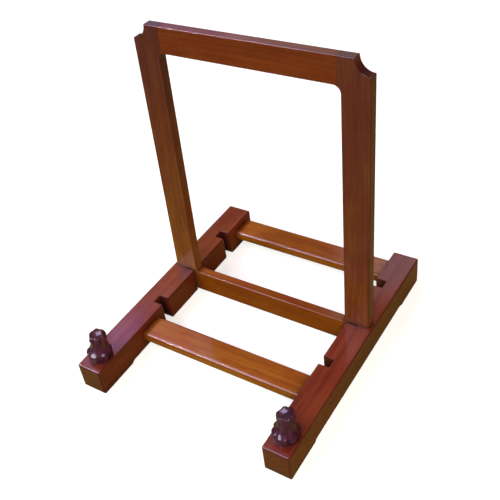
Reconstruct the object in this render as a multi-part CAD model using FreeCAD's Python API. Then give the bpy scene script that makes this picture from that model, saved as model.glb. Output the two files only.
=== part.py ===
"""Tabletop display easel: two notched side rails, two stretchers and a lift-out upright frame.

Millimetres. +Z is up and -Y is the front, where the two carved stop knobs stand.
The origin is on the table, under the middle of the base.
"""
import FreeCAD
import Part
import math
import os

V = FreeCAD.Vector

# --- base: side rails -------------------------------------------------------
overall_width = 260.0
rail_width = 30.0
rail_height = 33.0
rail_length = 310.0
foot_length = 49.0
foot_relief = 2.7
foot_cove_radius = 8.0
rail_front_round = 2.2
rail_rear_round = 3.0
rail_long_round = 1.3

# --- notches that hold the upright frame, as distances from the front end ----
notch_first = 115.4
notch_pitch = 65.3
notch_count = 3
notch_width = 12.3
notch_depth = 12.6
frame_notch = 1

# --- stretchers between the side rails ---------------------------------------
stretcher_width = 31.0
stretcher_thickness = 11.5
stretcher_underside = 12.3
stretcher_round = 3.2
front_stretcher_front = 75.0
rear_stretcher_front = 272.5
stretcher_tenon_thickness = 6.0
stretcher_tenon_width = 20.0
stretcher_tenon_length = 12.0

# --- upright frame, before it leans back --------------------------------------
frame_thickness = 11.0
frame_rise = 304.5
frame_inset = 4.0
frame_front_gap = 1.0
frame_lean = 1.5
stile_width = 28.5
top_rail_height = 27.6
bottom_rail_drop = 1.6
bottom_rail_height = 27.0
tongue_side_gap = 0.5
corner_cove_radius = 15.2
top_fillet = 8.0
top_spur = 3.7
bottom_fillet = 5.0
bottom_spur = 2.4
frame_round = 0.9

# --- frame tenons ---------------------------------------------------------------
frame_tenon_thickness = 4.0
top_tenon_height = 15.0
top_tenon_length = 15.0
bottom_tenon_height = 16.0
bottom_tenon_length = 11.0
mortise_end_gap = 0.5

# --- carved stop knobs ------------------------------------------------------------
knob_from_front = 24.0
knob_height = 31.4
knob_foot_radius = 12.3
knob_skirt_radius = 13.8
knob_skirt_height = 8.0
knob_skirt_forward = 1.2
knob_waist_radius = 9.6
knob_waist_height = 17.0
knob_crown_radius = 9.8
knob_crown_height = 25.6
knob_crown_back = 1.6
knob_cap_radius = 5.5
knob_cap_tilt = 12.0
knob_span_steps = 3
knob_lobes = 6
skirt_flute_foot = 2.0
skirt_flute_turn = 12.0
crown_flute_turn = 42.0
skirt_flute_radius = 3.4
crown_flute_radius = 2.6
flute_bite = 0.55
dowel_radius = 4.0
dowel_length = 28.0
dowel_clearance = 0.05

half_width = overall_width / 2
half_length = rail_length / 2
rail_inner = half_width - rail_width
stile_outer = half_width - frame_inset
stile_inner = stile_outer - stile_width
tongue_outer = rail_inner + notch_depth - tongue_side_gap
bottom_rail_top = -bottom_rail_drop
frame_bottom = bottom_rail_top - bottom_rail_height
window_top = frame_rise - top_rail_height


def from_front(distance):
    """Y of a place given as its distance from the front end of the base."""
    return distance - half_length


def box(x_range, y_range, z_range):
    """Axis-aligned block between three pairs of limits."""
    size = [high - low for low, high in (x_range, y_range, z_range)]
    return Part.makeBox(*size, V(x_range[0], y_range[0], z_range[0]))


def prism(edges, along):
    """Solid swept from a closed flat outline along a vector."""
    return Part.Face(Part.Wire(Part.__sortEdges__(edges))).extrude(along)


def line(start, end):
    return Part.LineSegment(start, end).toShape()


def arc(start, middle, end):
    return Part.Arc(start, middle, end).toShape()


def mirrored(shape):
    """The same piece for the other side of the easel."""
    return shape.mirror(V(0, 0, 0), V(1, 0, 0))


def edges_where(shape, wanted):
    """Edges whose sampled points all satisfy a test."""
    def passes(edge):
        first, last = edge.ParameterRange
        return all(wanted(edge.valueAt(first + (last - first) * part)) for part in (0.0, 0.5, 1.0))
    return [edge for edge in shape.Edges if passes(edge)]


def near(value, target):
    return abs(value - target) < 1e-4


# --- side rails -------------------------------------------------------------------
def rail_outline():
    """Side view of a rail: flat top, two feet and a relieved underside between them."""
    ends = (-half_length, half_length)
    run = math.sqrt(foot_cove_radius ** 2 - (foot_cove_radius - foot_relief) ** 2)
    half_turn = math.acos((foot_cove_radius - foot_relief) / foot_cove_radius) / 2
    edges = [line(V(0, ends[0], rail_height), V(0, ends[1], rail_height))]
    relief_ends = []
    for end in ends:
        inward = -math.copysign(1, end)
        foot_end = end + inward * foot_length
        centre = V(0, foot_end + inward * run, foot_relief - foot_cove_radius)
        middle_y = centre.y - inward * foot_cove_radius * math.sin(half_turn)
        middle_z = centre.z + foot_cove_radius * math.cos(half_turn)
        relief_ends.append(V(0, centre.y, foot_relief))
        edges.append(line(V(0, end, rail_height), V(0, end, 0)))
        edges.append(line(V(0, end, 0), V(0, foot_end, 0)))
        edges.append(arc(V(0, foot_end, 0), V(0, middle_y, middle_z), relief_ends[-1]))
    edges.append(line(*relief_ends))
    return edges


def rail_blank():
    """Right rail with softened ends and long edges, before any cutting."""
    blank = prism(rail_outline(), V(rail_width, 0, 0))
    blank.translate(V(rail_inner, 0, 0))
    for end, radius in ((-half_length, rail_front_round), (half_length, rail_rear_round)):
        blank = blank.makeFillet(radius, edges_where(blank, lambda p: near(p.y, end)))
    long_edges = edges_where(
        blank, lambda p: near(p.z, rail_height) and (near(p.x, rail_inner) or near(p.x, half_width)))
    return blank.makeFillet(rail_long_round, long_edges)


def notch_front(index):
    return from_front(notch_first + index * notch_pitch)


def side_rail():
    """Right rail: three notches inside, two mortises and the knob's dowel hole."""
    rail = rail_blank()
    for index in range(notch_count):
        y0 = notch_front(index)
        rail = rail.cut(box((rail_inner - 1, rail_inner + notch_depth), (y0, y0 + notch_width),
                            (-1, rail_height + 1)))
    depth = stretcher_tenon_length + mortise_end_gap
    for front in (front_stretcher_front, rear_stretcher_front):
        rail = rail.cut(stretcher_tenon(front, depth))
    return rail.cut(dowel_hole(rail_height, -1))


# --- stretchers -------------------------------------------------------------------
def stretcher_tenon(front, length):
    """Tenon on a stretcher's right end, or the cutter for its mortise."""
    middle_y = from_front(front) + stretcher_width / 2
    middle_z = stretcher_underside + stretcher_thickness / 2
    half_w = stretcher_tenon_width / 2
    half_t = stretcher_tenon_thickness / 2
    return box((rail_inner, rail_inner + length), (middle_y - half_w, middle_y + half_w),
               (middle_z - half_t, middle_z + half_t))


def stretcher(front):
    """Flat board with rounded long edges and a tenon at each end."""
    y0 = from_front(front)
    board = box((-rail_inner, rail_inner), (y0, y0 + stretcher_width),
                (stretcher_underside, stretcher_underside + stretcher_thickness))
    long_edges = [edge for edge in board.Edges if near(edge.Length, 2 * rail_inner)]
    board = board.makeFillet(stretcher_round, long_edges)
    tenon = stretcher_tenon(front, stretcher_tenon_length)
    return board.fuse([tenon, mirrored(tenon)]).removeSplitter()


# --- upright frame ------------------------------------------------------------------
def corner_round(corner_z, radius, upward, first, last):
    """Start, middle and end of part of an inside corner's round, by angle from the stile.

    upward is +1 where the round lies below a rail and -1 where it lies above one.
    """
    centre = V(stile_inner - radius, 0, corner_z - upward * radius)
    return [centre + V(radius * math.cos(angle), 0, upward * radius * math.sin(angle))
            for angle in (first, (first + last) / 2, last)]


def joint_angle(radius, spur):
    """Angle at which the joint between stile and frame rail crosses an inside corner's round."""
    return math.acos((radius - spur) / radius)


def stile_outline():
    """Front view of the right stile: coved shoulder on top, stepped tongue below."""
    top = corner_round(window_top, top_fillet, 1, 0.0, joint_angle(top_fillet, top_spur))
    low = corner_round(bottom_rail_top, bottom_fillet, -1, 0.0, joint_angle(bottom_fillet, bottom_spur))
    cove = corner_cove_radius
    cove_middle = cove * math.sqrt(0.5)
    corner = V(stile_outer, 0, frame_rise)
    tongue_foot = V(tongue_outer, 0, frame_bottom)
    spur_foot = V(low[2].x, 0, frame_bottom)
    below_cove = corner - V(0, 0, cove)
    beside_cove = corner - V(cove, 0, 0)
    spur_top = V(top[2].x, 0, frame_rise)
    shoulder_inner = V(tongue_outer, 0, -frame_thickness)
    shoulder_outer = V(stile_outer, 0, -frame_thickness)
    return [line(spur_foot, tongue_foot), line(tongue_foot, shoulder_inner),
            line(shoulder_inner, shoulder_outer), line(shoulder_outer, below_cove),
            arc(below_cove, corner - V(cove_middle, 0, cove_middle), beside_cove),
            line(beside_cove, spur_top), line(spur_top, top[2]), arc(top[2], top[1], top[0]),
            line(top[0], low[0]), arc(low[0], low[1], low[2]), line(low[2], spur_foot)]


def frame_rail_outline(inner_z, outer_z, radius, spur, upward):
    """Front view of a frame rail between its two joint lines."""
    right = corner_round(inner_z, radius, upward, joint_angle(radius, spur), math.pi / 2)
    left = [V(-point.x, 0, point.z) for point in right]
    far_right = V(right[0].x, 0, outer_z)
    far_left = V(left[0].x, 0, outer_z)
    return [line(left[2], right[2]), arc(right[2], right[1], right[0]), line(right[0], far_right),
            line(far_right, far_left), line(far_left, left[0]), arc(left[0], left[1], left[2])]


def rounded_board(outline, sharp):
    """Board of frame thickness with its face edges eased, apart from the joint faces."""
    board = prism(outline, V(0, frame_thickness, 0))
    face_edges = []
    for side in (0, frame_thickness):
        face_edges += edges_where(board, lambda p: near(p.y, side))
    eased = [edge for edge in face_edges if not sharp(edge.valueAt(sum(edge.ParameterRange) / 2))]
    return board.makeFillet(frame_round, eased)


def frame_tenon(start, length, low, high):
    """Tenon on a frame rail's right end, or the cutter for its mortise."""
    middle = frame_thickness / 2
    half = frame_tenon_thickness / 2
    return box((start, start + length), (middle - half, middle + half), (low, high))


def top_tenon(extra):
    middle = frame_rise - top_rail_height / 2
    half = top_tenon_height / 2
    return frame_tenon(stile_inner - top_spur, top_tenon_length + extra, middle - half, middle + half)


def bottom_tenon(extra):
    middle = bottom_rail_top - bottom_rail_height / 2
    half = bottom_tenon_height / 2
    return frame_tenon(stile_inner - bottom_spur, bottom_tenon_length + extra, middle - half, middle + half)


def on_top_joint(point):
    return near(abs(point.x), stile_inner - top_spur) and point.z > window_top - top_fillet


def on_bottom_joint(point):
    return near(abs(point.x), stile_inner - bottom_spur) and point.z < bottom_fillet


def leaned(shape):
    """A frame piece where it stands: in its notch, leaning back, on the rails' tops."""
    placed = shape.copy()
    placed.rotate(V(0, 0, 0), V(1, 0, 0), -frame_lean)
    placed.translate(V(0, notch_front(frame_notch) + frame_front_gap, rail_height))
    return placed


def stile():
    """Right stile: mortised for both frame rails, with its shoulder cut level."""
    board = rounded_board(stile_outline(), lambda p: on_top_joint(p) or on_bottom_joint(p))
    board = board.cut([top_tenon(mortise_end_gap), bottom_tenon(mortise_end_gap)])
    under_shoulder = box((tongue_outer, half_width + 1), (-half_length, half_length),
                         (-rail_height, rail_height))
    return leaned(board).cut(under_shoulder)


def top_rail():
    outline = frame_rail_outline(window_top, frame_rise, top_fillet, top_spur, 1)
    board = rounded_board(outline, on_top_joint)
    return leaned(board.fuse([top_tenon(0), mirrored(top_tenon(0))]))


def bottom_rail():
    outline = frame_rail_outline(bottom_rail_top, frame_bottom, bottom_fillet, bottom_spur, -1)
    board = rounded_board(outline, on_bottom_joint)
    return leaned(board.fuse([bottom_tenon(0), mirrored(bottom_tenon(0))]))


# --- knobs and their dowels -------------------------------------------------------
def knob_axis():
    return V(half_width - rail_width / 2, from_front(knob_from_front), 0)


def knob_key_rings():
    """Height, radius and backward shift of the knob's foot, skirt, waist, crown and cap."""
    return [(0.0, knob_foot_radius, -knob_skirt_forward),
            (knob_skirt_height / 2, knob_foot_radius, -knob_skirt_forward),
            (knob_skirt_height, knob_skirt_radius, -knob_skirt_forward),
            (knob_waist_height, knob_waist_radius, knob_crown_back / 2),
            (knob_crown_height, knob_crown_radius, knob_crown_back),
            (knob_height, knob_cap_radius, knob_crown_back)]


def ring_between(low, high, share):
    """Section part of the way up between two key rings, easing out of one and into the other."""
    eased = (1 - math.cos(math.pi * share)) / 2
    shares = (share, eased, eased)
    height, radius, shift = [a + (b - a) * part for a, b, part in zip(low, high, shares)]
    return Part.Wire([Part.makeCircle(radius, V(0, shift, height))])


def knob_blank():
    """Knob before carving, with straight walls between closely spaced sections."""
    keys = knob_key_rings()
    wires = [ring_between(low, high, step / knob_span_steps)
             for low, high in zip(keys, keys[1:]) for step in range(knob_span_steps)]
    wires.append(ring_between(keys[-2], keys[-1], 1))
    return Part.makeLoft(wires, True, True)


def flutes(radius, ring, turn, shift, z_range):
    """Upright grooves between the lobes of one tier, the first of them at turn degrees."""
    angles = [math.radians(turn + 360 * i / knob_lobes) for i in range(knob_lobes)]
    feet = [V(ring * math.cos(angle), ring * math.sin(angle) + shift, z_range[0]) for angle in angles]
    return [Part.makeCylinder(radius, z_range[1] - z_range[0], foot) for foot in feet]


def above_cap():
    """Cutter that slants the knob's top down towards the front."""
    reach = 2 * knob_skirt_radius
    cutter = box((-reach, reach), (-reach, reach), (0, knob_height))
    cutter.rotate(V(0, 0, 0), V(1, 0, 0), knob_cap_tilt)
    rise = (knob_cap_radius + knob_crown_back) * math.tan(math.radians(knob_cap_tilt))
    cutter.translate(V(0, 0, knob_height - rise))
    return cutter


def knob():
    """Right knob, carved in two staggered tiers of lobes, its crown set back from its skirt."""
    body = knob_blank().cut(above_cap())
    skirt_ring = knob_skirt_radius + skirt_flute_radius * flute_bite
    crown_ring = knob_crown_radius + crown_flute_radius * flute_bite
    skirt_top = (knob_skirt_height + knob_waist_height) / 2
    body = body.cut(flutes(skirt_flute_radius, skirt_ring, skirt_flute_turn, -knob_skirt_forward,
                           (skirt_flute_foot, skirt_top)))
    body = body.cut(flutes(crown_flute_radius, crown_ring, crown_flute_turn, knob_crown_back,
                           (knob_waist_height, knob_height)))
    body.translate(knob_axis() + V(0, 0, rail_height))
    return body.cut(dowel_hole(rail_height, 1))


def left_knob(right_knob):
    """The left knob, which stands turned the same way as the right one."""
    knob_copy = right_knob.copy()
    knob_copy.translate(V(-2 * knob_axis().x, 0, 0))
    return knob_copy


def dowel_hole(mouth_z, direction):
    """Cutter for half of the dowel's length, up or down from the knob's seat."""
    depth = dowel_length / 2 + mortise_end_gap
    return Part.makeCylinder(dowel_radius + dowel_clearance, depth, knob_axis() + V(0, 0, mouth_z),
                             V(0, 0, direction))


def knob_dowel():
    foot = knob_axis() + V(0, 0, rail_height - dowel_length / 2)
    return Part.makeCylinder(dowel_radius, dowel_length, foot)


# --- nodes ------------------------------------------------------------------------
def nodes():
    """Every piece by name. Paired pieces are mirrored, apart from the knobs."""
    pieces = {
        "front_stretcher": stretcher(front_stretcher_front),
        "rear_stretcher": stretcher(rear_stretcher_front),
        "frame_top_rail": top_rail(),
        "frame_bottom_rail": bottom_rail(),
    }
    for name, piece in (("side_rail", side_rail()), ("frame_stile", stile()), ("knob_dowel", knob_dowel())):
        pieces[name + "_right"] = piece
        pieces[name + "_left"] = mirrored(piece)
    pieces["stop_knob_right"] = knob()
    pieces["stop_knob_left"] = left_knob(pieces["stop_knob_right"])
    return pieces


os.makedirs("parts", exist_ok=True)
for name, piece in nodes().items():
    piece.exportStep(os.path.join("parts", name + ".step"))
    print(name, piece.isValid(), len(piece.Solids), round(piece.Volume, 1),
          [round(value, 2) for value in (piece.BoundBox.XMin, piece.BoundBox.YMin, piece.BoundBox.ZMin,
                                         piece.BoundBox.XMax, piece.BoundBox.YMax, piece.BoundBox.ZMax)])
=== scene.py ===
"""Looks of the tabletop display easel: lacquered hardwood, carved stop knobs, studio light and camera."""
import math
import random

import bmesh
import bpy
from mathutils import Matrix, Vector, noise


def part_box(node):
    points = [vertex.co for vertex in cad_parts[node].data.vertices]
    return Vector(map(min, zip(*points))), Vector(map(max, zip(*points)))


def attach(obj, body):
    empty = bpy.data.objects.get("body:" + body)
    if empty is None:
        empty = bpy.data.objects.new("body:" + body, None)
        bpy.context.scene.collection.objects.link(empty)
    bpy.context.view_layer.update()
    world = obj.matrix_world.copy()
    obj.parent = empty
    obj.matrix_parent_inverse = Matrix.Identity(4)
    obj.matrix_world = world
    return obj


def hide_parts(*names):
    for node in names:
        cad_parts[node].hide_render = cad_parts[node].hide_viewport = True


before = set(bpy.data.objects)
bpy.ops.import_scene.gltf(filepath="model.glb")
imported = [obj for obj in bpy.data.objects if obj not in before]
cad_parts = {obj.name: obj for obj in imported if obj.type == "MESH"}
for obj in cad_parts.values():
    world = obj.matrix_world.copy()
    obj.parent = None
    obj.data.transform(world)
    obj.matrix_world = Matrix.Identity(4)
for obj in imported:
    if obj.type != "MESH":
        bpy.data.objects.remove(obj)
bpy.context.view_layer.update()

MM = 0.001

# --- camera, in degrees, metres and millimetres of lens --------------------------------
CAMERA_AZIMUTH = 37.97
CAMERA_ELEVATION = 39.94
CAMERA_ROLL = 8.84
CAMERA_DISTANCE = 0.9788
CAMERA_AXIS_POINT = (-0.0950, 0.0971, 0.0)
CAMERA_LENS = 55.07
CAMERA_SENSOR = 36.0
CAMERA_SHIFT = (0.0346, 0.0143)

# --- wood figure, stain and lacquer --------------------------------------------------------
RING_SPACING = 5.5 * MM
RING_WANDER = 30 * MM
RING_RIPPLE = 3 * MM
BOARD_PITH_DISTANCE = 120 * MM
PORE_WIDTH = 0.35 * MM
EDGE_ROUND = 0.9 * MM
CARVING_ROUND = 0.3 * MM
# how far the painted shade of hollows reaches
HOLLOW_REACH = 14 * MM
BUMP_DEPTH = 0.1 * MM

# noise cycles per metre, across the grain twice and then along it
WANDER_NOISE = (22.0, 22.0, 4.0)
RIPPLE_NOISE = (150.0, 150.0, 14.0)
CLOUD_NOISE = (24.0, 24.0, 7.0)
STREAK_NOISE = (230.0, 230.0, 4.5)
FIBRE_NOISE = (900.0, 900.0, 12.0)
PORE_NOISE = (1 / PORE_WIDTH, 1 / PORE_WIDTH, 90.0)
BLOTCH_NOISE = (45.0, 45.0, 22.0)
SMEAR_NOISE = (60.0, 60.0, 25.0)

# how much each kind of figure changes the tone of a board
RING_WEIGHT = -0.14
CLOUD_WEIGHT = 0.55
STREAK_WEIGHT = 0.62
FIBRE_WEIGHT = 0.50

# display colours that multiply or cover the stain; the hollow and edge colours paint shade into it
PORE_STAIN = (120, 80, 70)
BLOTCH_STAIN = (235, 186, 200)
# painted shade, with some gathered stain, in hollows, corners and under parts
HOLLOW_SHADE_AND_STAIN = (38, 20, 26)
END_GRAIN_STAIN = (222, 232, 226)
# painted shade along the rounded edges
PAINTED_EDGE_SHADE = (46, 20, 28)
PORE_SHARE = 0.5
BLOTCH_SHARE = 0.55
HOLLOW_SHARE = 0.92

# where on their own scale of 0 to 1 the stain's tones stand, and where each effect begins and is full
TONE_STOPS = (0.12, 0.5, 0.9)
PORE_LEVELS = (0.64, 0.70)
BLOTCH_LEVELS = (0.40, 0.62)
HOLLOW_LEVELS = (0.80, 0.35)
SMEAR_LEVELS = (0.3, 0.7)
END_GRAIN_LEVELS = (0.6, 0.9)
EDGE_LEVELS = (0.985, 0.86)

# lacquer
BASE_ROUGHNESS = (0.34, 0.46)
PORE_ROUGHNESS = 0.2
BASE_SPECULAR = 0.1
BOARD_GLOSS = 0.12
KNOB_GLOSS = 0.04
COAT_IOR = 1.45
WOOD_BUMP = 0.3
COAT_BUMP = 0.1
# how much fibres, pores and smears of polish stand up or sink in
RELIEF_WEIGHTS = (0.3, -0.8, 1.0)
SHADER_SAMPLES = 6


# --- small node helpers --------------------------------------------------------------------
class Nodes:
    """Short calls for building one node tree."""

    def __init__(self, tree):
        self.tree = tree

    def add(self, kind, settings=None, **inputs):
        """A node of one kind. settings are its properties; inputs are values or sockets by name."""
        node = self.tree.nodes.new(kind)
        for key, value in (settings or {}).items():
            setattr(node, key, value)
        for key, value in inputs.items():
            self.put(node.inputs[key.replace("_", " ")], value)
        return node

    def put(self, socket, value):
        if isinstance(value, bpy.types.NodeSocket):
            self.tree.links.new(value, socket)
        else:
            socket.default_value = value

    def math(self, operation, first, second=0.0, clamp=False):
        node = self.tree.nodes.new("ShaderNodeMath")
        node.operation = operation
        node.use_clamp = clamp
        self.put(node.inputs[0], first)
        self.put(node.inputs[1], second)
        return node.outputs[0]

    def span(self, value, low, high, to_low=0.0, to_high=1.0, smooth=False):
        """Value remapped from one span to another, held at both ends."""
        node = self.tree.nodes.new("ShaderNodeMapRange")
        node.interpolation_type = "SMOOTHSTEP" if smooth else "LINEAR"
        for socket, number in zip(node.inputs, (value, low, high, to_low, to_high)):
            self.put(socket, number)
        return node.outputs[0]

    def vector(self, operation, first, second):
        node = self.tree.nodes.new("ShaderNodeVectorMath")
        node.operation = operation
        self.put(node.inputs[0], first)
        self.put(node.inputs[1], second)
        return node

    def noise(self, place, stretch, detail=2.0, roughness=0.5):
        """Noise of about one cycle per 1/stretch metres along each axis."""
        scaled = self.vector("MULTIPLY", place, stretch).outputs[0]
        node = self.add("ShaderNodeTexNoise", Vector=scaled, Scale=1.0, Detail=detail, Roughness=roughness)
        return node.outputs["Fac"]

    def mix(self, kind, share, first, second):
        """Two colours mixed in one blend mode."""
        node = self.tree.nodes.new("ShaderNodeMix")
        node.data_type = "RGBA"
        node.blend_type = kind
        self.put(node.inputs["Factor"], share)
        self.put(node.inputs[6], first)
        self.put(node.inputs[7], second)
        return node.outputs[2]

    def ramp(self, value, stops):
        """Colour ramp through (place, colour) stops."""
        node = self.tree.nodes.new("ShaderNodeValToRGB")
        stops = list(stops)
        while len(node.color_ramp.elements) < len(stops):
            node.color_ramp.elements.new(0.5)
        for element, (place, colour) in zip(node.color_ramp.elements, stops):
            element.position = place
            element.color = (*colour, 1.0)
        self.put(node.inputs[0], value)
        return node.outputs[0]


def srgb(red, green, blue):
    """Linear colour from display values of 0 to 255."""
    def linear(value):
        value /= 255
        return value / 12.92 if value <= 0.04045 else ((value + 0.055) / 1.055) ** 2.4
    return linear(red), linear(green), linear(blue)


def opaque(display_colour):
    """Linear colour with full alpha from a display colour."""
    return (*srgb(*display_colour), 1.0)


# --- wood ----------------------------------------------------------------------------------
def grain_place(nodes, along, shift):
    """Object coordinates with the grain turned to Z, moved so that each board has its own figure."""
    place = nodes.add("ShaderNodeTexCoord").outputs["Object"]
    parts = nodes.add("ShaderNodeSeparateXYZ", Vector=place).outputs
    order = {"X": (1, 2, 0), "Y": (0, 2, 1), "Z": (0, 1, 2)}[along]
    turned = nodes.add("ShaderNodeCombineXYZ", X=parts[order[0]], Y=parts[order[1]], Z=parts[order[2]])
    return nodes.vector("ADD", turned.outputs[0], shift).outputs[0]


def growth_rings(nodes, place, pith):
    """Growth rings round a pith outside the board, wandering slowly along the grain."""
    centred = nodes.vector("SUBTRACT", place, (*pith, 0.0)).outputs[0]
    flat = nodes.vector("MULTIPLY", centred, (1.0, 1.0, 0.0)).outputs[0]
    radius = nodes.vector("LENGTH", flat, (0.0, 0.0, 0.0)).outputs["Value"]
    wander = nodes.noise(place, WANDER_NOISE)
    ripple = nodes.noise(place, RIPPLE_NOISE)
    radius = nodes.math("ADD", radius, nodes.math("MULTIPLY", wander, RING_WANDER))
    radius = nodes.math("ADD", radius, nodes.math("MULTIPLY", ripple, RING_RIPPLE))
    turn = nodes.math("FRACT", nodes.math("DIVIDE", radius, RING_SPACING))
    late = nodes.span(turn, 0.1, 0.90, smooth=True)
    fall = nodes.span(turn, 0.90, 1.0, 1.0, 0.0, smooth=True)
    return nodes.math("MULTIPLY", late, fall)


def weighted_sum(nodes, base, parts):
    """base plus each (value, weight), with every value taken about its middle of 0.5."""
    parts = list(parts)
    total = base - 0.5 * sum(weight for _, weight in parts)
    for value, weight in parts:
        total = nodes.math("ADD", nodes.math("MULTIPLY", value, weight), total)
    return total


def painted_bounce_fade(nodes, along, fade):
    """Change of tone between two places along the board: painted bounce light, lighter where more light comes
    up from the floor and rails.
    """
    first, last, first_change, last_change = fade
    place = nodes.add("ShaderNodeTexCoord").outputs["Object"]
    along_board = nodes.add("ShaderNodeSeparateXYZ", Vector=place).outputs[along]
    return nodes.span(along_board, first, last, first_change, last_change)


def stained_colour(nodes, place, figures, look):
    """Colour of the stained board: tone of its figure, pores, end grain and blotches."""
    tone = weighted_sum(nodes, 0.5, ((figures["rings"], RING_WEIGHT * look["figure"]),
                                     (figures["clouds"], CLOUD_WEIGHT * look["figure"]),
                                     (figures["streaks"], STREAK_WEIGHT * look["figure"]),
                                     (figures["fibres"], FIBRE_WEIGHT * look["figure"])))
    # painted bounce light: the tone changes along the board
    if look["fade"]:
        tone = nodes.math("ADD", tone, painted_bounce_fade(nodes, look["along"], look["fade"]))
    colour = nodes.ramp(tone, zip(TONE_STOPS, (srgb(*colour) for colour in look["tones"])))
    pores_seen = nodes.math("MULTIPLY", figures["pores"], PORE_SHARE)
    colour = nodes.mix("MULTIPLY", pores_seen, colour, opaque(PORE_STAIN))
    colour = nodes.mix("MULTIPLY", end_grain(nodes, look["along"]), colour, opaque(END_GRAIN_STAIN))
    patches = nodes.noise(place, BLOTCH_NOISE, 3.0, 0.6)
    blotches = nodes.span(patches, *BLOTCH_LEVELS, 0.0, BLOTCH_SHARE, smooth=True)
    return nodes.mix("MULTIPLY", blotches, colour, opaque(BLOTCH_STAIN))


def painted_shade_colour(nodes, colour, softened, edges):
    """The colour with painted shade along the rounded edges, and with painted shade and some gathered stain
    in hollows.
    """
    # painted shade along the rounded edges
    darkened = nodes.math("MULTIPLY", edge_mask(nodes, softened), edges)
    colour = nodes.mix("MIX", darkened, colour, opaque(PAINTED_EDGE_SHADE))
    # painted shade by ambient occlusion in hollows, with some gathered stain
    open_sky = nodes.add("ShaderNodeAmbientOcclusion", {"samples": SHADER_SAMPLES}, Distance=HOLLOW_REACH)
    hollow = nodes.span(open_sky.outputs["AO"], *HOLLOW_LEVELS, 0.0, HOLLOW_SHARE)
    return nodes.mix("MIX", hollow, colour, opaque(HOLLOW_SHADE_AND_STAIN))


def lacquered(nodes, place, figures, colour, softened, gloss):
    """Shader of the stained wood under clear lacquer."""
    smear = nodes.noise(place, SMEAR_NOISE, 3.0, 0.6)
    rough = nodes.math("ADD", nodes.span(smear, *SMEAR_LEVELS, *BASE_ROUGHNESS),
                       nodes.math("MULTIPLY", figures["pores"], PORE_ROUGHNESS))
    height = weighted_sum(nodes, 0.0, zip((figures["fibres"], figures["pores"], smear), RELIEF_WEIGHTS))
    relief = {"Distance": BUMP_DEPTH, "Height": height, "Normal": softened}
    bumps = [nodes.add("ShaderNodeBump", Strength=strength, **relief) for strength in (WOOD_BUMP, COAT_BUMP)]
    shader = nodes.add("ShaderNodeBsdfPrincipled", Base_Color=colour, Roughness=rough,
                       Normal=bumps[0].outputs[0], Coat_Normal=bumps[1].outputs[0])
    shader.inputs["Specular IOR Level"].default_value = BASE_SPECULAR
    shader.inputs["Coat Weight"].default_value = 1.0
    shader.inputs["Coat Roughness"].default_value = gloss
    shader.inputs["Coat IOR"].default_value = COAT_IOR
    return shader.outputs[0]


def wood_material(name, along, seed, tones, fade=None, figure=1.0, edges=0.0,
                  gloss=BOARD_GLOSS, pith_distance=BOARD_PITH_DISTANCE, rounding=EDGE_ROUND):
    """Stained, lacquered hardwood with its grain along one axis.

    tones are three display colours: the stain's dark, middle and light.
    fade is two places along the grain and the change of tone at each, which paints bounce light.
    figure is how strongly the grain shows, and edges how much painted shade darkens the rounded edges.
    rounding is how far the lacquer softens an edge.
    """
    rng = random.Random(seed)
    material = bpy.data.materials.new(name)
    material.use_nodes = True
    material.node_tree.nodes.clear()
    nodes = Nodes(material.node_tree)
    shift = tuple(rng.uniform(1.0, 4.0) for _ in range(3))
    angle = rng.uniform(0, 2 * math.pi)
    pith = (shift[0] + pith_distance * math.cos(angle), shift[1] + pith_distance * math.sin(angle))
    place = grain_place(nodes, along, shift)
    figures = {
        "rings": growth_rings(nodes, place, pith),
        "clouds": nodes.noise(place, CLOUD_NOISE),
        "streaks": nodes.noise(place, STREAK_NOISE, 3.0, 0.55),
        "fibres": nodes.noise(place, FIBRE_NOISE, 3.0, 0.65),
        "pores": nodes.span(nodes.noise(place, PORE_NOISE, 1.0), *PORE_LEVELS),
    }
    look = {"along": along, "tones": tones, "fade": fade, "figure": figure}
    colour = stained_colour(nodes, place, figures, look)
    softened = nodes.add("ShaderNodeBevel", {"samples": SHADER_SAMPLES}, Radius=rounding).outputs[0]
    colour = painted_shade_colour(nodes, colour, softened, edges)
    nodes.add("ShaderNodeOutputMaterial", Surface=lacquered(nodes, place, figures, colour, softened, gloss))
    return material


def end_grain(nodes, along):
    """1 on the ends of the board, which drink more stain, 0 on its long sides."""
    normal = nodes.add("ShaderNodeTexCoord").outputs["Normal"]
    facing = nodes.add("ShaderNodeSeparateXYZ", Vector=normal).outputs[along]
    return nodes.span(nodes.math("ABSOLUTE", facing), *END_GRAIN_LEVELS)


def edge_mask(nodes, softened):
    """1 on edges, where the softened normal points along none of the board's three axes, 0 on its faces."""
    turned = nodes.add("ShaderNodeVectorTransform", {"vector_type": "NORMAL"}, Vector=softened).outputs[0]
    unsigned = nodes.vector("ABSOLUTE", turned, (0.0, 0.0, 0.0)).outputs[0]
    parts = nodes.add("ShaderNodeSeparateXYZ", Vector=unsigned).outputs
    most = nodes.math("MAXIMUM", nodes.math("MAXIMUM", parts[0], parts[1]), parts[2])
    return nodes.span(most, *EDGE_LEVELS, smooth=True)


RAIL_TONES = ((68, 20, 14), (99, 39, 20), (124, 61, 29))
STRETCHER_TONES = ((106, 53, 4), (131, 74, 8), (154, 100, 22))
STILE_TONES = ((63, 21, 27), (88, 41, 22), (120, 70, 20))
TOP_RAIL_TONES = ((68, 20, 7), (93, 36, 10), (111, 50, 15))
BOTTOM_RAIL_TONES = ((84, 36, 1), (114, 55, 2), (138, 76, 6))
# the knob's dark purplish stain with a painted violet sheen mixed into it
KNOB_STAIN_AND_SHEEN = ((34, 12, 28), (60, 25, 43), (92, 44, 58))
DOWEL_TONES = ((150, 116, 74), (186, 150, 104), (210, 178, 132))
# painted bounce light: the stiles lighter and more orange towards their feet and darker towards the top
LEFT_STILE_FADE = (0.03, 0.33, 0.34, -0.28)
RIGHT_STILE_FADE = (0.03, 0.33, 0.14, -0.22)

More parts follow.
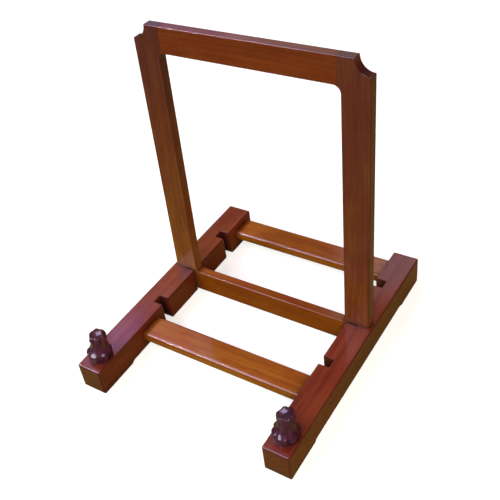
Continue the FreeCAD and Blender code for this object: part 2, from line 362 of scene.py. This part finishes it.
# grain axis, tones, fade, figure and edges of each board
NODE_WOOD = {
    "side_rail_left": ("Y", RAIL_TONES, None, 0.8, 0.7),
    "side_rail_right": ("Y", RAIL_TONES, None, 0.8, 0.7),
    "front_stretcher": ("X", STRETCHER_TONES, None, 0.8, 0.3),
    "rear_stretcher": ("X", STRETCHER_TONES, None, 0.8, 0.3),
    "frame_stile_left": ("Z", STILE_TONES, LEFT_STILE_FADE, 0.7, 0.6),
    "frame_stile_right": ("Z", STILE_TONES, RIGHT_STILE_FADE, 0.7, 0.6),
    "frame_top_rail": ("X", TOP_RAIL_TONES, None, 0.8, 0.5),
    "frame_bottom_rail": ("X", BOTTOM_RAIL_TONES, None, 0.7, 0.5),
    "knob_dowel_left": ("Z", DOWEL_TONES, None, 1.0, 0.3),
    "knob_dowel_right": ("Z", DOWEL_TONES, None, 1.0, 0.3),
}


def finish_cad_wood():
    """Gives each CAD piece its own board of lacquered wood."""
    for seed, (node, (along, *look)) in enumerate(NODE_WOOD.items(), start=11):
        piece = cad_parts[node]
        piece.data.materials.clear()
        piece.data.materials.append(wood_material(node + "_wood", along, seed, *look))


# --- carved knobs -----------------------------------------------------------------------------
KNOB_ROWS = 150
KNOB_COLUMNS = 180
KNOB_LOBES = 6
KNOB_PITCH = 2 * math.pi / KNOB_LOBES
KNOB_TURN = math.radians(12)
KNOB_PITH_DISTANCE = 20 * MM
# tool marks: their share of the radius, and how often they come round the knob and up it
KNOB_TOOLING = 0.012
TOOLING_ROUND = 2.2
TOOLING_UP = 7
WELD_DISTANCE = 0.001 * MM
# each knob's seed, and the slopes of its cap sideways and backwards
KNOBS = {"left": (31, (-0.05, 0.11)), "right": (37, (0.005, 0.15))}
PETAL_SPAN = math.radians(26)
# height where the cuts between petals close, height where they are deepest, and that depth
CROWN_PETALS = (0.593, 0.879, 0.26)
SKIRT_PETALS = (0.505, 0.110, 0.20)
CAP_SMOOTHING = 0.7
# shares of the height where the cap begins to slant, and where its petals begin to fade
CAP_RIM = (0.923, 0.961)
CAP_EDGE = (0.934, 0.972)

# shares of the knob's height, of its skirt radius, and how far the middle stands behind the skirt's
KNOB_PROFILE = (
    (0.000, 0.900, 0.00), (0.022, 0.925, 0.00), (0.099, 0.935, 0.00), (0.209, 0.955, 0.00),
    (0.258, 0.985, 0.00), (0.283, 1.000, 0.00), (0.301, 0.985, 0.00), (0.335, 0.885, 0.02),
    (0.374, 0.790, 0.05), (0.418, 0.715, 0.08), (0.472, 0.670, 0.12), (0.538, 0.648, 0.15),
    (0.615, 0.645, 0.17), (0.703, 0.675, 0.19), (0.780, 0.710, 0.20), (0.846, 0.720, 0.20),
    (0.901, 0.685, 0.20), (0.937, 0.625, 0.20), (0.956, 0.575, 0.20), (0.967, 0.490, 0.20),
    (0.981, 0.250, 0.20), (0.986, 0.000, 0.20),
)


def smooth_step(value, low, high):
    share = min(max((value - low) / (high - low), 0.0), 1.0)
    return share * share * (3 - 2 * share)


def through_points(points, place):
    """Catmull-Rom curve through points, at a place from 0 to 1 along the list."""
    run = place * (len(points) - 1)
    index = min(int(run), len(points) - 2)
    t = run - index
    before, start, end, after = (points[min(max(index + step, 0), len(points) - 1)] for step in (-1, 0, 1, 2))
    return tuple(
        0.5 * (2 * b + (c - a) * t + (2 * a - 5 * b + 4 * c - d) * t ** 2 + (3 * b - a - 3 * c + d) * t ** 3)
        for a, b, c, d in zip(before, start, end, after))


def petal_cut(angle, first_valley, height, petals):
    """How deep the cut between two petals is: none where the petals end, deepest where they begin."""
    closed, full, depth = petals
    off_valley = abs((angle - first_valley + KNOB_PITCH / 2) % KNOB_PITCH - KNOB_PITCH / 2)
    opening = smooth_step(height, *sorted((closed, full)))
    opening = opening if full > closed else 1 - opening
    return depth * max(0.0, opening - off_valley / PETAL_SPAN)


def knob_point(place, angle, size, cap_slope):
    """Point on the knob from the middle of its foot, for a size of skirt radius and height."""
    height, radius, back = through_points(KNOB_PROFILE, place)
    crown_cut = petal_cut(angle, KNOB_TURN + KNOB_PITCH / 2, height, CROWN_PETALS)
    crown_cut *= 1 - CAP_SMOOTHING * smooth_step(height, *CAP_EDGE)
    skirt_cut = petal_cut(angle, KNOB_TURN, height, SKIRT_PETALS)
    side = Vector((math.cos(angle), math.sin(angle), 0.0))
    tool_mark = noise.noise(side * TOOLING_ROUND + Vector((0.0, 0.0, height * TOOLING_UP)))
    radius *= (1 - crown_cut - skirt_cut) * (1 + KNOB_TOOLING * tool_mark)
    flat = side * max(radius, 0.0) * size[0]
    slant = smooth_step(height, *CAP_RIM) * (flat.x * cap_slope[0] + flat.y * cap_slope[1])
    return flat + Vector((0.0, back * size[0], height * size[1] + slant))


def carve_knob(name, node, material, cap_slope):
    """A carved knob in place of its CAD node, inside that node's box."""
    low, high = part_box(node)
    foot = Vector(((low.x + high.x) / 2, (low.y + high.y) / 2, low.z))
    size = ((high.x - low.x) / 2, high.z - low.z)
    grid = bmesh.new()
    rows = []
    for row in range(KNOB_ROWS + 1):
        turn = [2 * math.pi * column / KNOB_COLUMNS for column in range(KNOB_COLUMNS)]
        ring = [foot + knob_point(row / KNOB_ROWS, angle, size, cap_slope) for angle in turn]
        rows.append([grid.verts.new(point) for point in ring])
    for lower, upper in zip(rows, rows[1:]):
        for column in range(KNOB_COLUMNS):
            after = (column + 1) % KNOB_COLUMNS
            grid.faces.new((lower[column], lower[after], upper[after], upper[column]))
    grid.faces.new(list(reversed(rows[0])))
    bmesh.ops.remove_doubles(grid, verts=grid.verts, dist=WELD_DISTANCE)
    mesh = bpy.data.meshes.new(name)
    grid.to_mesh(mesh)
    grid.free()
    for face in mesh.polygons:
        face.use_smooth = True
    mesh.materials.append(material)
    knob = bpy.data.objects.new(name, mesh)
    bpy.context.scene.collection.objects.link(knob)
    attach(knob, "base")
    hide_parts(node)


def make_knobs():
    for side, (seed, cap_slope) in KNOBS.items():
        material = wood_material("knob_wood_" + side, "Z", seed, KNOB_STAIN_AND_SHEEN, gloss=KNOB_GLOSS,
                                 pith_distance=KNOB_PITH_DISTANCE, rounding=CARVING_ROUND)
        carve_knob("carved_knob_" + side, "stop_knob_" + side, material, cap_slope)


# --- stage --------------------------------------------------------------------------------------
FLOOR_SIZE = 8.0
FLOOR_COLOUR = (0.50, 0.52, 0.50, 1.0)
FLOOR_LIFT = 0.65
FLOOR_REFLECTED = (0.155, 0.164, 0.048, 1.0)
BACKDROP_COLOUR = (0.90, 0.91, 0.92, 1.0)
ROOM_COLOUR = (1.0, 0.92, 0.4, 1.0)
ROOM_STRENGTH = 0.05
WHITE = (1.0, 1.0, 1.0, 1.0)


def make_floor():
    """Plain pale floor, much larger than the object. The lacquer reflects it as a dim, warm room."""
    bpy.ops.mesh.primitive_plane_add(size=FLOOR_SIZE, location=(0, 0, 0))
    floor = bpy.context.object
    floor.name = "floor"
    material = bpy.data.materials.new("pale_floor")
    material.use_nodes = True
    material.node_tree.nodes.clear()
    nodes = Nodes(material.node_tree)
    rays = nodes.add("ShaderNodeLightPath").outputs
    pale = nodes.add("ShaderNodeBsdfDiffuse", Color=FLOOR_COLOUR).outputs[0]
    lift = nodes.add("ShaderNodeEmission", Color=WHITE, Strength=FLOOR_LIFT).outputs[0]
    bright = nodes.add("ShaderNodeAddShader")
    dim = nodes.add("ShaderNodeBsdfDiffuse", Color=FLOOR_REFLECTED).outputs[0]
    both = nodes.add("ShaderNodeMixShader", Fac=rays["Is Camera Ray"])
    for source, socket in ((pale, bright.inputs[0]), (lift, bright.inputs[1]), (dim, both.inputs[1]),
                           (bright.outputs[0], both.inputs[2])):
        nodes.put(socket, source)
    nodes.add("ShaderNodeOutputMaterial", Surface=both.outputs[0])
    floor.data.materials.append(material)


# each light's name, azimuth, elevation, distance, (width, height), power and colour
LIGHTS = (
    ("window", 238, 57, 3.0, (0.7, 0.8), 17.0, (0.68, 0.60, 1.0)),
    ("window_rim", 240, 50, 3.0, (1.2, 1.2), 6.2, (1.0, 0.43, 0.43)),
    ("rear_left", 224, 22, 3.0, (1.0, 0.8), 1.6, (0.80, 0.62, 1.0)),
    ("rear_right", 205, 22, 3.0, (0.9, 0.8), 1.3, (1.0, 0.85, 0.90)),
    ("rear_glint", 199, 38, 3.0, (0.5, 0.4), 1.0, (0.60, 0.80, 1.0)),
    ("rear_warm", 221, 38, 3.0, (0.6, 0.4), 1.0, (1.0, 0.40, 0.10)),
    ("key", -43, 46, 3.0, (1.5, 1.5), 66, (0.91, 0.82, 1.0)),
)
# lights that leave no reflection in the lacquer
SOFT_LIGHTS = (
    ("fill", 18, 22, 2.0, (1.2, 0.8), 22, (0.85, 1.0, 0.80)),
    ("front", 40, 40, 2.0, (1.4, 1.0), 29, (1.0, 0.88, 0.76)),
    ("side", 95, 30, 2.5, (1.5, 1.2), 16, (1.0, 0.12, 0.08)),
    ("back", 205, 6, 3.0, (1.5, 0.6), 36, (1.0, 0.95, 0.88)),
)
# lights seen only as reflections in the lacquer
GLINTS = (
    ("key_glint", -50, 46, 3.0, (0.6, 0.6), 40, (1.0, 0.86, 0.97)),
    ("window_glint", 237, 40, 3.0, (0.4, 0.35), 1.5, (0.36, 0.34, 1.0)),
    ("high_glint", 45, 70, 3.0, (1.6, 1.2), 45, (0.72, 0.66, 1.0)),
    ("key_halo", -45, 36, 3.0, (3.0, 3.0), 20, (0.50, 0.40, 1.0)),
)
# small glints that no second surface passes on
ONCE_REFLECTED = ("key_glint", "window_glint")
LIGHT_AIM = (0.0, 0.0, 0.12)


def area_light(name, azimuth, elevation, distance, size, power, colour):
    """Soft rectangular light aimed at the middle of the easel."""
    az, el = math.radians(azimuth), math.radians(elevation)
    away = Vector((math.sin(az) * math.cos(el), -math.cos(az) * math.cos(el), math.sin(el)))
    data = bpy.data.lights.new(name, "AREA")
    data.shape = "RECTANGLE"
    data.size, data.size_y = size
    data.energy = power
    data.color = colour
    light = bpy.data.objects.new(name, data)
    light.location = Vector(LIGHT_AIM) + away * distance
    light.rotation_euler = away.to_track_quat("Z", "Y").to_euler()
    bpy.context.scene.collection.objects.link(light)
    return light


def make_world():
    """Pale backdrop for the camera, and a dim, warm room for everything else."""
    world = bpy.data.worlds.new("studio")
    world.use_nodes = True
    world.node_tree.nodes.clear()
    nodes = Nodes(world.node_tree)
    backdrop = nodes.add("ShaderNodeBackground", Color=BACKDROP_COLOUR, Strength=1.0).outputs[0]
    room = nodes.add("ShaderNodeBackground", Color=ROOM_COLOUR, Strength=ROOM_STRENGTH).outputs[0]
    sky = nodes.add("ShaderNodeMixShader", Fac=nodes.add("ShaderNodeLightPath").outputs["Is Camera Ray"])
    nodes.put(sky.inputs[1], room)
    nodes.put(sky.inputs[2], backdrop)
    nodes.add("ShaderNodeOutputWorld", Surface=sky.outputs[0])
    bpy.context.scene.world = world


def make_light():
    for settings in LIGHTS:
        area_light(*settings)
    for settings in SOFT_LIGHTS:
        area_light(*settings).visible_glossy = False
    for settings in GLINTS:
        glint = area_light(*settings)
        glint.visible_diffuse = False
        glint.data.cycles.max_bounces = 0
        glint.data.cycles.use_multiple_importance_sampling = settings[0] not in ONCE_REFLECTED


def make_camera():
    """Camera on a point of its own axis, turned by azimuth, elevation and roll."""
    az, el, roll = (math.radians(value) for value in (CAMERA_AZIMUTH, CAMERA_ELEVATION, CAMERA_ROLL))
    back = Vector((math.sin(az) * math.cos(el), -math.cos(az) * math.cos(el), math.sin(el)))
    level_right = Vector((0, 0, 1)).cross(back).normalized()
    level_up = back.cross(level_right)
    right = level_right * math.cos(roll) - level_up * math.sin(roll)
    up = back.cross(right)
    data = bpy.data.cameras.new("camera")
    data.sensor_fit = "HORIZONTAL"
    data.sensor_width = CAMERA_SENSOR
    data.lens = CAMERA_LENS
    data.shift_x, data.shift_y = CAMERA_SHIFT
    camera = bpy.data.objects.new("camera", data)
    turn = Matrix((right, up, back)).transposed().to_4x4()
    camera.matrix_world = Matrix.Translation(Vector(CAMERA_AXIS_POINT) + back * CAMERA_DISTANCE) @ turn
    bpy.context.scene.collection.objects.link(camera)
    bpy.context.scene.camera = camera


make_camera()
make_world()
make_light()
make_floor()
finish_cad_wood()
make_knobs()
bpy.context.scene.view_settings.view_transform = "Standard"
